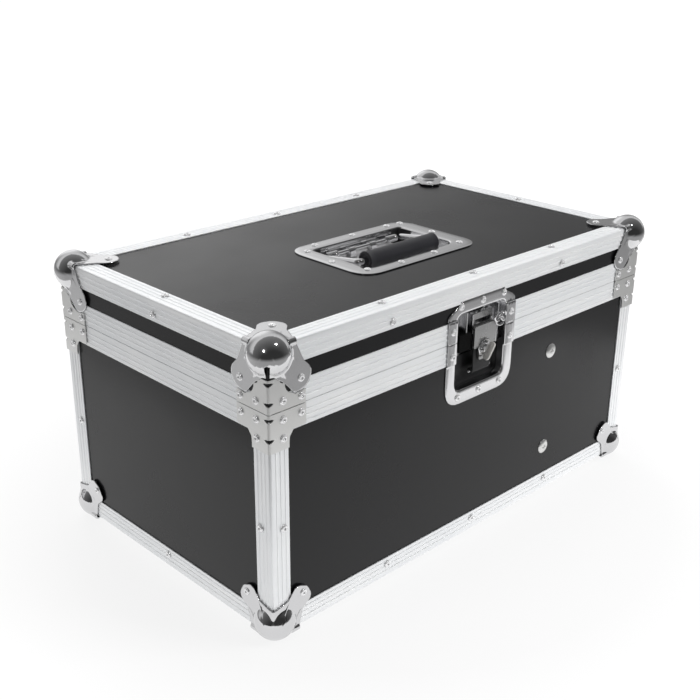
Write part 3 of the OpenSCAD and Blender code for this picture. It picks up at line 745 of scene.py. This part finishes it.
def pressed_dish(outline, mouth, centre, depth, level, cuts):
    """A flange with a pan pressed into it, drawn as (u, v, height out of the face).
    mouth(g) is the opening's outline grown by g; level(v) lifts the flange; cuts are lines across it."""
    angles = sorted({2 * math.pi * k / 180 for k in range(180)}
                    | {math.atan2(y - centre[1], x - centre[0]) % (2 * math.pi) for x, y in outline})
    edge_r, floor_r, skirt = 1.8, 3.0, 1.3

    def ring(points, h, inset=0.0):
        row = []
        for angle in angles:
            d = ray_hit(points, centre, angle) - inset
            row.append(bm.verts.new((centre[0] + d * math.cos(angle), centre[1] + d * math.sin(angle), h)))
        return row

    bm = bmesh.new()
    rows = [ring(outline, -skirt), ring(outline, -0.35), ring(outline, -0.1, 0.12), ring(outline, 0, 0.4)]
    outer, inner = rows[-1], ring(mouth(edge_r), 0)
    for k in (1, 2):
        rows.append([bm.verts.new(a.co.lerp(b.co, k / 3)) for a, b in zip(outer, inner)])
    rows.append(inner)
    for k in (1, 2, 3, 4):
        turn = math.pi / 2 * k / 4
        rows.append(ring(mouth(edge_r * (1 - math.sin(turn))), -edge_r * (1 - math.cos(turn))))
    for k in range(5):
        turn = math.pi / 2 * k / 4
        rows.append(ring(mouth(-floor_r * (1 - math.cos(turn))), -depth + floor_r * (1 - math.sin(turn))))
    rows.append(ring(mouth(-floor_r - 3), -depth))
    grid_faces(bm, rows, closed=True)
    bm.faces.new(rows[-1])
    for v in cuts:
        geom = bm.verts[:] + bm.edges[:] + bm.faces[:]
        bmesh.ops.bisect_plane(bm, geom=geom, plane_co=(0, v, 0), plane_no=(0, 1, 0), dist=0.0005)
    for vert in bm.verts:
        weight = min(1.0, max(0.0, 1 + vert.co.z / 6))
        vert.co.z += level(vert.co.y) * weight
    return bm


def rect(x0, y0, x1, y1, low_r, high_r):
    """A rectangle with its low-y and high-y corners rounded."""
    return rounded([(x0, y0, low_r), (x1, y0, low_r), (x1, y1, high_r), (x0, y1, high_r)], 0, 8)


LATCH_X = (corner_of("latch_claw", False).x + corner_of("latch_claw", True).x) / 2
LATCH_HALF, LATCH_BELOW, LATCH_ABOVE = 38.0, 54.0, 28.0
HANDLE_HALF, HANDLE_FRONT, HANDLE_BACK = 67.0, 19.0, 17.0
FLANGE_OUT = 1.4
PANEL_LEVEL = FLANGE_OUT - LEG_T


def latch_dishes():
    """The latch's recess, pressed as one dish and cut at the lid's parting line."""
    z_low = corner_of("latch_lower_dish", False).z
    high = corner_of("latch_upper_dish", True)
    half, z_high = high.x, high.z
    right = [(half, z_low, 22), (half, z_high - 13, 2), (half - 5, z_high - 9, 3), (29, z_high, 3)]
    left = [(-x, z, r) for x, z, r in right]
    outline = rounded([left[0], *right, *reversed(left[1:])], 0, 6)
    # height below which the deep part of the pan is painted near-black as shade
    painted_shade_top = PART_Z - 22

    def mouth(g):
        half_w = LATCH_HALF + g
        return rect(-half_w, PART_Z - LATCH_BELOW - g, half_w, PART_Z + LATCH_ABOVE + g, 9 + g, 9 + g)

    foot, head = PART_Z - LEG_W, LID_Z + LEG_W

    def level(z):
        on_rims = smooth(z, foot - 1.3, foot - 0.2) * (1 - smooth(z, head + 0.2, head + 1.3))
        return PANEL_LEVEL + (FLANGE_OUT - PANEL_LEVEL) * on_rims

    cuts = [foot - 1.3, foot - 1.0, foot - 0.75, foot - 0.5, foot - 0.2,
            head + 0.2, head + 0.5, head + 0.75, head + 1.0, head + 1.3, painted_shade_top]
    for name, body, keep_low in (("latch_lower_dish", "case_body", True), ("latch_upper_dish", "lid", False)):
        bm = pressed_dish(outline, mouth, (0, PART_Z - 13), 12.0, level, cuts)
        geom = bm.verts[:] + bm.edges[:] + bm.faces[:]
        line = PART_Z - 0.05 if keep_low else LID_Z + 0.05
        bmesh.ops.bisect_plane(bm, geom=geom, plane_co=(0, line, 0), plane_no=(0, 1 if keep_low else -1, 0),
                               clear_outer=True)
        for v in bm.verts:
            v.co = Vector((v.co.x, -HY - v.co.z, v.co.y))
        # painted shade: deep faces of the lower pan take the near-black second material
        for f in bm.faces:
            c = f.calc_center_median()
            if c.y > -HY + 9.5 and c.z < painted_shade_top:
                f.material_index = 1
        obj = piece(name + "_pressing", bm, CHROME, body, [name], 50,
                    Vector((0, -HY + 100, PART_Z)))
        obj.data.materials.append(PAINTED_SHADE)
        thickness(obj, 1.0)


def handle_dish():
    """The handle's recess: painted shade in its two back corners, a floor painted lighter with the paler
    rivet plating, and ribs on its floor.
    """
    low, high = corner_of("handle_dish", False), corner_of("handle_dish", True)
    outline = rect(low.x, low.y, high.x, high.y, 25, 25)

    def mouth(g):
        return rect(-HANDLE_HALF - g, low.y + HANDLE_FRONT - g, HANDLE_HALF + g, high.y - HANDLE_BACK + g,
                    16 + g, 4 + g)

    depth = 17.0 - LEG_T + FLANGE_OUT
    bm = pressed_dish(outline, mouth, ((low.x + high.x) / 2, (low.y + high.y) / 2), depth, lambda v: 0.0, [])
    for v in bm.verts:
        v.co = Vector((v.co.x, v.co.y, high.z + v.co.z))
    for f in bm.faces:
        c = f.calc_center_median()
        # painted shade: the back corners take the near-black material
        if c.z < high.z - 1.5 and abs(c.x) > 54 and c.y > -3:
            f.material_index = 1
        # painted light: the floor faces take the paler, more diffuse rivet plating, so they read brighter
        # than the chrome walls
        elif c.z < low.z + 4:
            f.material_index = 2
    obj = piece("handle_dish_pressing", bm, CHROME, "lid", ["handle_dish"], 50,
                Vector((0, 0, Z1 - 200)))
    obj.data.materials.append(PAINTED_SHADE)
    obj.data.materials.append(RIVET_STEEL)
    thickness(obj, 1.0)
    bm = bmesh.new()
    for k in range(6):
        y = low.y + 34 + 9 * k
        path = [(x, y, Z1 - 18.2 + 1.6 * smooth(54 - abs(x), 0, 6)) for x in (-54, -51, -48, 0, 48, 51, 54)]
        tube(bm, path, 2.6, 16)
    piece("handle_dish_floor_ribs", bm, RIVET_STEEL, "lid", (), 60)


# ---------- handle

def rounded_path(points, radius, steps=8):
    """A path with round bends."""
    out = [Vector(points[0])]
    for before, here, after in zip(points, points[1:], points[2:]):
        p = Vector(here)
        a, b = Vector(before) - p, Vector(after) - p
        reach = min(radius, 0.49 * a.length, 0.49 * b.length)
        p0, p1 = p + a.normalized() * reach, p + b.normalized() * reach
        for k in range(steps + 1):
            t = k / steps
            out.append(p0 * (1 - t) ** 2 + p * (2 * t * (1 - t)) + p1 * t**2)
    out.append(Vector(points[-1]))
    return out


def handle():
    """The bent rod, its rubber sleeve and the torsion spring that pulls it down."""
    low, high = corner_of("handle_grip", False), corner_of("handle_grip", True)
    middle = (low + high) / 2
    half = (high.x - low.x) / 2
    radius = (high.z - low.z) / 2
    pivot_y = (corner_of("handle_spring", False).y + corner_of("handle_spring", True).y) / 2
    pivot_z = Z1 - 9
    leg_x = 60
    bm = bmesh.new()
    for s in (-1, 1):
        path = [(s * 67.9, pivot_y, pivot_z), (s * leg_x, pivot_y, pivot_z),
                (s * leg_x, middle.y, middle.z), (s * (half - 6), middle.y, middle.z)]
        tube(bm, rounded_path(path, 5.5), 3.5, 20)
    piece("handle_rod", bm, CHROME, "handle", ["handle_bail"], 60)

    bm = bmesh.new()
    edge = [(3.4, 1.8), (5.6, 1.6), (6.6, 0.5), (7.4, 0.1), (8.4, 0.0), (9.2, 0.25), (9.75, 0.9),
            (radius, 1.9)]
    profile = [(r, -half + h) for r, h in edge] + [(radius, -half * k / 6) for k in (5, 4, 3, 2, 1)]
    profile += [(r, -h) for r, h in reversed(profile)]
    revolve(bm, profile, lambda a, b, c: Vector((c, middle.y + a, middle.z + b)), 48)
    piece("handle_grip_sleeve", bm, GRIP, "handle", ["handle_grip"], 40)

    bm = bmesh.new()
    tube(bm, [(x, pivot_y, pivot_z) for x in (-55, 0, 55)], 2.2, 20)
    turns, pitch, coil_r, steps = 8, 1.95, 3.3, 20
    for s in (-1, 1):
        coil = [(s * 37.5, pivot_y - 26, Z1 - 15.8)]
        for k in range(turns * steps + 1):
            a = 2 * math.pi * k / steps
            coil.append((s * (38 + pitch * k / steps), pivot_y + coil_r * math.cos(a),
                         pivot_z + coil_r * math.sin(a)))
        tube(bm, coil, 0.85, 8)
    for x in (-16, 16):
        saddle = [(-6, -7.9), (-3.2, -7.9), (-3.2, 0.5), (0, 3.6), (3.2, 0.5), (3.2, -7.9), (6, -7.9)]
        strip = rounded_path([(0, a, b) for a, b in saddle], 2.0, 4)
        for squeeze, drop in ((1.0, 0.0), (0.8, 0.9)):
            rows = [[bm.verts.new((x + w, pivot_y + p.y * squeeze, pivot_z + p.z - drop)) for w in (-4, 4)]
                    for p in strip]
            grid_faces(bm, rows)
    piece("handle_torsion_spring", bm, WIRE, "lid", ["handle_spring"], 60)


# ---------- latch wing

def latch_wing():
    """The turning hub with its two lugs, and the thumb wing that stands across it."""
    x, z = LATCH_X, PART_Z - 15
    recess = 1.5
    bm = bmesh.new()
    shaft = [(0, 3.2), (3.4, 3.2), (3.8, 2.8), (3.8, -1.4)]
    hub = [(3.8, 1.35), (9.2, 1.35), (9.9, 1.9), (9.9, 3.0), (8.6, 3.6), (6.6, 3.4), (5.4, 5.4),
           (2.6, 6.4), (0, 6.4)]
    place = on_front(x, z, -recess)
    revolve(bm, shaft, place, 32)
    revolve(bm, hub, place, 8)
    angle = math.radians(53)
    along = Vector((math.cos(angle), math.sin(angle)))
    across = Vector((-along.y, along.x))
    for s in (-1, 1):
        corners_ab = ((-1.3, 4.5), (1.3, 4.5), (1.3, -5.5), (-1.3, -5.5))
        lug = [along * (s * 4.6 + a) + across * b for a, b in corners_ab]
        prism(bm, [(p.x, p.y) for p in lug], 3.0, 7.4, place)
    boss = piece("latch_hub", bm, WIRE, "wing", ["latch_wing"], 30)
    bevel(boss, 0.3, 2, 30)

    bm = bmesh.new()
    out = -corner_of("latch_wing", False).y - HY + recess
    place = on_front(x + 2.2, z - 4.2, -recess)
    outline = rounded([(-9.8, 3.6, 3.5), (9.8, 3.6, 3.5), (10.3, out, 5.6), (-10.3, out, 5.6)], 0, 6)
    mid_h = (2.8 + out) / 2
    for side in (-1, 1):
        rows = []
        for inset, half_t in ((0.0, 0.35), (0.12, 0.8), (0.5, 1.12), (1.0, 1.2)):
            row = []
            for u, h in outline:
                d = math.hypot(u, h - mid_h)
                shrink = (d - inset) / d
                p = along * (u * shrink) + across * (side * half_t)
                row.append(bm.verts.new(place(p.x, p.y, mid_h + (h - mid_h) * shrink)))
            rows.append(row)
        grid_faces(bm, rows, closed=True)
        bm.faces.new(rows[-1])
        if side < 0:
            first = rows[0]
        else:
            grid_faces(bm, [first, rows[0]], closed=True)
    piece("latch_thumb_wing", bm, CAST, "wing", (), 40)


def bumper():
    """A square rubber block beside the claw."""
    bm = bmesh.new()
    x0, x1, z0, z1 = -32.5, -14.5, PART_Z - 14, PART_Z + 5
    prism(bm, rounded([(x0, z0), (x1, z0), (x1, z1), (x0, z1)], 1.5, 3), -11.6, -1.6, on_front(0, 0))
    obj = piece("latch_rubber_block", bm, BUMPER, "case_body", ["latch_bumper"], 35)
    bevel(obj, 0.8, 3, 40)


def keeper():
    """The slotted plate behind the claw, its side returns, a rib to either side and four wire loops."""
    z0, z1 = corner_of("latch_keeper", False).z, corner_of("latch_keeper", True).z
    x0, x1 = LATCH_X - 16, LATCH_X + 16
    slot = (LATCH_X - 13, PART_Z + 10, LATCH_X + 12.5, PART_Z + 15.5)
    bm = bmesh.new()
    for a, b, c, d in ((x0, z0, x1, slot[1]), (x0, slot[3], x1, z1),
                       (x0, slot[1], slot[0], slot[3]), (slot[2], slot[1], x1, slot[3])):
        prism(bm, [(a, b), (c, b), (c, d), (a, d)], -4.5, -3.0, on_front(0, 0))
    piece("keeper_plate", bm, DARK_STEEL, "lid", ["latch_keeper"], 30)
    bm = bmesh.new()
    for a, top in ((x0 - 0.2, z1), (x1 - 1.4, z1), (x0 - 9.5, PART_Z + 26), (x1 + 8, PART_Z + 25)):
        prism(bm, rounded([(a, -12), (a, -2.6), (a + 1.6, -2.6), (a + 1.6, -12)], 0.5, 2), z0, top, upright)
    lip = [(slot[0] + 1.5, -3.0), (slot[0] + 1.5, -1.4), (slot[2] - 1.5, -1.4), (slot[2] - 1.5, -3.0)]
    prism(bm, lip, PART_Z + 9.0, PART_Z + 9.9, upright)
    piece("keeper_ribs", bm, WIRE, "lid", (), 30)
    bm = bmesh.new()
    for cx, cz, r, tilt, turn in ((19.5, 14.0, 4.6, 0.2, 0.2), (24.0, 9.0, 4.8, -0.25, 1.0),
                                  (29.5, 12.5, 4.6, 0.25, 2.0), (25.5, 14.5, 3.2, 0.1, 0.6)):
        ring = []
        for k in range(24):
            a = 2 * math.pi * k / 24
            u, v = r * math.cos(a), r * math.sin(a)
            wave = u * math.sin(tilt) * 0.7 + 0.5 * math.sin(2 * a + turn)
            ring.append((cx + u * math.cos(tilt), -HY - 3.6 + wave, PART_Z + cz + v))
        tube(bm, ring, 1.15, 10, closed=True)
    piece("keeper_wire_loops", bm, WIRE, "lid", (), 60)


# ---------- foam lining

def pad(bm, low, high, cell=14.0):
    """A foam sheet as a slightly uneven block with soft edges."""
    size = [b - a for a, b in zip(low, high)]
    counts = [max(1, round(s / cell)) for s in size]
    made = bmesh.ops.create_cube(bm, size=1.0)
    verts = made["verts"]
    for v in verts:
        v.co = Vector(l + (c + 0.5) * s for l, c, s in zip(low, v.co, size))
    for axis in range(3):
        for k in range(1, counts[axis]):
            co = [0, 0, 0]
            co[axis] = low[axis] + size[axis] * k / counts[axis]
            no = [0, 0, 0]
            no[axis] = 1
            faces = {f for v in verts for f in v.link_faces}
            edges = {e for v in verts for e in v.link_edges}
            cut = bmesh.ops.bisect_plane(bm, geom=list({*verts} | faces | edges), plane_co=co, plane_no=no,
                                         dist=0.001)
            verts = list({*verts} | {g for g in cut["geom_cut"] if isinstance(g, bmesh.types.BMVert)})
    for v in verts:
        for axis in range(3):
            inner = 0.9 if v.co[axis] - low[axis] < 0.01 else -0.9 if high[axis] - v.co[axis] < 0.01 else 0
            if inner and size[axis] < 8:
                wave = noise.noise(v.co * 0.035) * 0.45
                v.co[axis] += inner * (0.3 + abs(wave)) * 0.5


def linings():
    """Foam sheets glued inside the base and the lid, cut round the latch pan, divider and handle dish."""
    in_t = LEG_T + PANEL_T
    foam = 5.0
    x, y = HX - in_t, HY - in_t
    end_spans = ((-x, foam - x), (x - foam, x))
    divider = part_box("divider_panel")
    d0, d1 = divider[0].x / MM, divider[1].x / MM
    floor = corner_of("body_lining", False).z
    rim = corner_of("body_lining", True).z
    latch = LATCH_HALF + RECESS_GAP
    latch_low = PART_Z - LATCH_BELOW - RECESS_GAP
    bm = bmesh.new()
    for x0, x1 in ((-x, d0), (d1, x)):
        pad(bm, (x0, -y, floor), (x1, y, floor + foam))
        pad(bm, (x0, y - foam, floor + foam), (x1, y, rim))
    pad(bm, (-x, -y, floor + foam), (-latch, -y + foam, rim))
    pad(bm, (-latch, -y, floor + foam), (latch, -y + foam, latch_low))
    pad(bm, (latch, -y, floor + foam), (d0, -y + foam, rim))
    pad(bm, (d1, -y, floor + foam), (x, -y + foam, rim))
    for x0, x1 in end_spans:
        pad(bm, (x0, -y + foam, floor + foam), (x1, y - foam, rim))
    obj = piece("body_foam", bm, FOAM, "case_body", ["body_lining"], 40)
    bevel(obj, 1.2, 3, 50)

    low, high = corner_of("lid_lining", False).z, corner_of("lid_lining", True).z
    hole_x = HANDLE_HALF + RECESS_GAP
    dish_low = corner_of("handle_dish", False).y + HANDLE_FRONT - RECESS_GAP
    dish_high = corner_of("handle_dish", True).y - HANDLE_BACK + RECESS_GAP
    bm = bmesh.new()
    pad(bm, (-x, -y, high - foam), (-hole_x, y, high))
    pad(bm, (hole_x, -y, high - foam), (x, y, high))
    pad(bm, (-hole_x, -y, high - foam), (hole_x, dish_low, high))
    pad(bm, (-hole_x, dish_high, high - foam), (hole_x, y, high))
    pad(bm, (-x, y - foam, low), (x, y, high - foam))
    pad(bm, (-x, -y, low), (-latch, -y + foam, high - foam))
    pad(bm, (latch, -y, low), (x, -y + foam, high - foam))
    pad(bm, (-latch, -y, PART_Z + LATCH_ABOVE + RECESS_GAP), (latch, -y + foam, high - foam))
    for x0, x1 in end_spans:
        pad(bm, (x0, -y + foam, low), (x1, y - foam, high - foam))
    obj = piece("lid_foam", bm, FOAM, "lid", ["lid_lining"], 40)
    bevel(obj, 1.2, 3, 50)


# ---------- studio

def area_light(name, size, place, target, power, glints=False):
    """A soft light that isn't seen; only the glints show as highlights in polished metal."""
    data = bpy.data.lights.new(name, "AREA")
    data.shape = "ELLIPSE" if glints else "RECTANGLE"
    data.size, data.size_y = size
    data.energy = power
    obj = bpy.data.objects.new(name, data)
    bpy.context.scene.collection.objects.link(obj)
    obj.location = place
    obj.rotation_euler = (Vector(place) - Vector(target)).to_track_quat("Z", "Y").to_euler()
    obj.visible_camera = False
    obj.visible_glossy = glints


def paper_floor():
    """A white floor that glows, a little less round the case."""
    bm = bmesh.new()
    corners_xy = [(-0.52, -0.49), (0.56, -0.49), (0.66, -0.26), (12, 2), (12, 12), (2, 12), (-0.52, 0.7)]
    bm.faces.new([bm.verts.new((x, y, 0)) for x, y in corners_xy])
    mesh = bpy.data.meshes.new("floor")
    bm.to_mesh(mesh)
    bm.free()
    m, tree, shader = node_material("floor_paper", (0.1, 0.1, 0.1), 0.0, 0.9)
    where = add(tree, "ShaderNodeTexCoord").outputs["Object"]
    away = add(tree, "ShaderNodeVectorMath", operation="LENGTH", in_Vector=where)
    glow = remap(tree, away.outputs["Value"], 0.35, 0.7, 0.84, 1.0)
    settle(tree, shader, in_Emission_Color=(1, 1, 1, 1), in_Emission_Strength=glow, in_Specular_IOR_Level=0.1)
    mesh.materials.append(m)
    floor = bpy.data.objects.new("floor", mesh)
    bpy.context.scene.collection.objects.link(floor)


def grey_ramp(tree, value, ends, between):
    """A grey level for every value from -1 to 1; ends and between are (position, level)."""
    ramp = add(tree, "ShaderNodeValToRGB", in_Fac=remap(tree, value, -1, 1, 0, 1))
    stops = ramp.color_ramp.elements
    for stop, (position, level) in zip(stops, ends):
        stop.position, stop.color = position, (level, level, level, 1)
    for position, level in between:
        stops.new(position).color = (level, level, level, 1)
    return ramp.outputs["Color"]


def facing(tree, where, direction):
    """How nearly a direction of view lies along another."""
    node = add(tree, "ShaderNodeVectorMath", operation="DOT_PRODUCT")
    node.inputs[1].default_value = direction
    tree.links.new(where, node.inputs[0])
    return node.outputs["Value"]


def surroundings():
    """A studio that polished metal mirrors: bright behind the case, a ring of soft light just above
    the horizon, a pale floor below. The camera itself sees plain white."""
    world = bpy.data.worlds.new("studio")
    world.use_nodes = True
    bpy.context.scene.world = world
    tree = world.node_tree
    tree.nodes.clear()
    where = add(tree, "ShaderNodeTexCoord").outputs["Generated"]
    behind = grey_ramp(tree, facing(tree, where, (0.35, 0.87, 0.35)), ((0.2, 0.04), (0.99, 1.1)),
                       ((0.55, 0.14), (0.925, 0.3), (0.965, 0.62)))
    ring = grey_ramp(tree, facing(tree, where, (0.394, 0.88, -0.27)), ((0.545, 0), (0.85, 0)),
                     ((0.585, 0.55), (0.72, 0.4)))
    height = add(tree, "ShaderNodeSeparateXYZ", in_Vector=where).outputs["Z"]
    below = remap(tree, height, -0.1, -0.36, 0, 0.36)
    softbox = add(tree, "ShaderNodeMixRGB", blend_type="ADD", in_Fac=remap(tree, height, -0.03, 0.1, 0, 1),
                  in_Color1=behind, in_Color2=ring)
    lit = add(tree, "ShaderNodeMixRGB", blend_type="ADD", in_Fac=1, in_Color1=softbox.outputs["Color"],
              in_Color2=below)
    room = add(tree, "ShaderNodeBackground", in_Color=lit.outputs["Color"])
    seen = add(tree, "ShaderNodeBackground", in_Color=(1, 1, 1, 1), in_Strength=1.05)
    path = add(tree, "ShaderNodeLightPath")
    mix = add(tree, "ShaderNodeMixShader", in_Fac=path.outputs["Is Camera Ray"])
    tree.links.new(room.outputs[0], mix.inputs[1])
    tree.links.new(seen.outputs[0], mix.inputs[2])
    add(tree, "ShaderNodeOutputWorld", in_Surface=mix.outputs[0])


def lamps():
    """Four soft lights, and two small ones that show as glints in the balls."""
    area_light("overhead", (1.6, 1.6), (0.25, 0.2, 1.7), (0, 0, 0.2), 18)
    area_light("key", (0.9, 0.9), (1.0, -1.5, 0.9), (0, 0, 0.15), 40)
    area_light("fill", (0.9, 0.9), (-1.6, 0.1, 0.8), (0, 0, 0.15), 7)
    area_light("back", (1.0, 1.0), (0.6, 1.6, 1.0), (0, 0, 0.15), 12)
    for name, place in (("glint_left", (-1.2, -0.55, 0.92)), ("glint_right", (0.09, -0.85, 1.33))):
        area_light(name, (0.1, 0.1), place, (-0.28, -0.17, 0.3), 1.2, glints=True)


def camera():
    """Where the photographer stood: height, heading, downward tilt, roll and lens."""
    data = bpy.data.cameras.new("camera")
    data.lens = 55.75
    data.sensor_width = 36
    data.clip_start, data.clip_end = 0.05, 60
    obj = bpy.data.objects.new("camera", data)
    bpy.context.scene.collection.objects.link(obj)
    heading, tilt, roll = math.radians(-44.199), math.radians(22.312), math.radians(0.471)
    back = Vector((math.sin(heading) * math.cos(tilt), -math.cos(heading) * math.cos(tilt), math.sin(tilt)))
    level = (-back).cross(Vector((0, 0, 1))).normalized()
    above = level.cross(-back)
    right = level * math.cos(roll) + above * math.sin(roll)
    up = -level * math.sin(roll) + above * math.cos(roll)
    turn = Matrix((right, up, back)).transposed().to_4x4()
    obj.matrix_world = Matrix.Translation(Vector((-0.8046, -0.8022, 0.6352))) @ turn
    bpy.context.scene.camera = obj
    bpy.context.scene.view_settings.view_transform = "Standard"


camera()
dress_frame()
corners()
braces()
rivets("body_rivets", "case_body")
rivets("lid_rivets", "lid")
screw_heads()
latch_dishes()
handle_dish()
handle()
latch_wing()
keeper()
bumper()
linings()
paper_floor()
surroundings()
lamps()
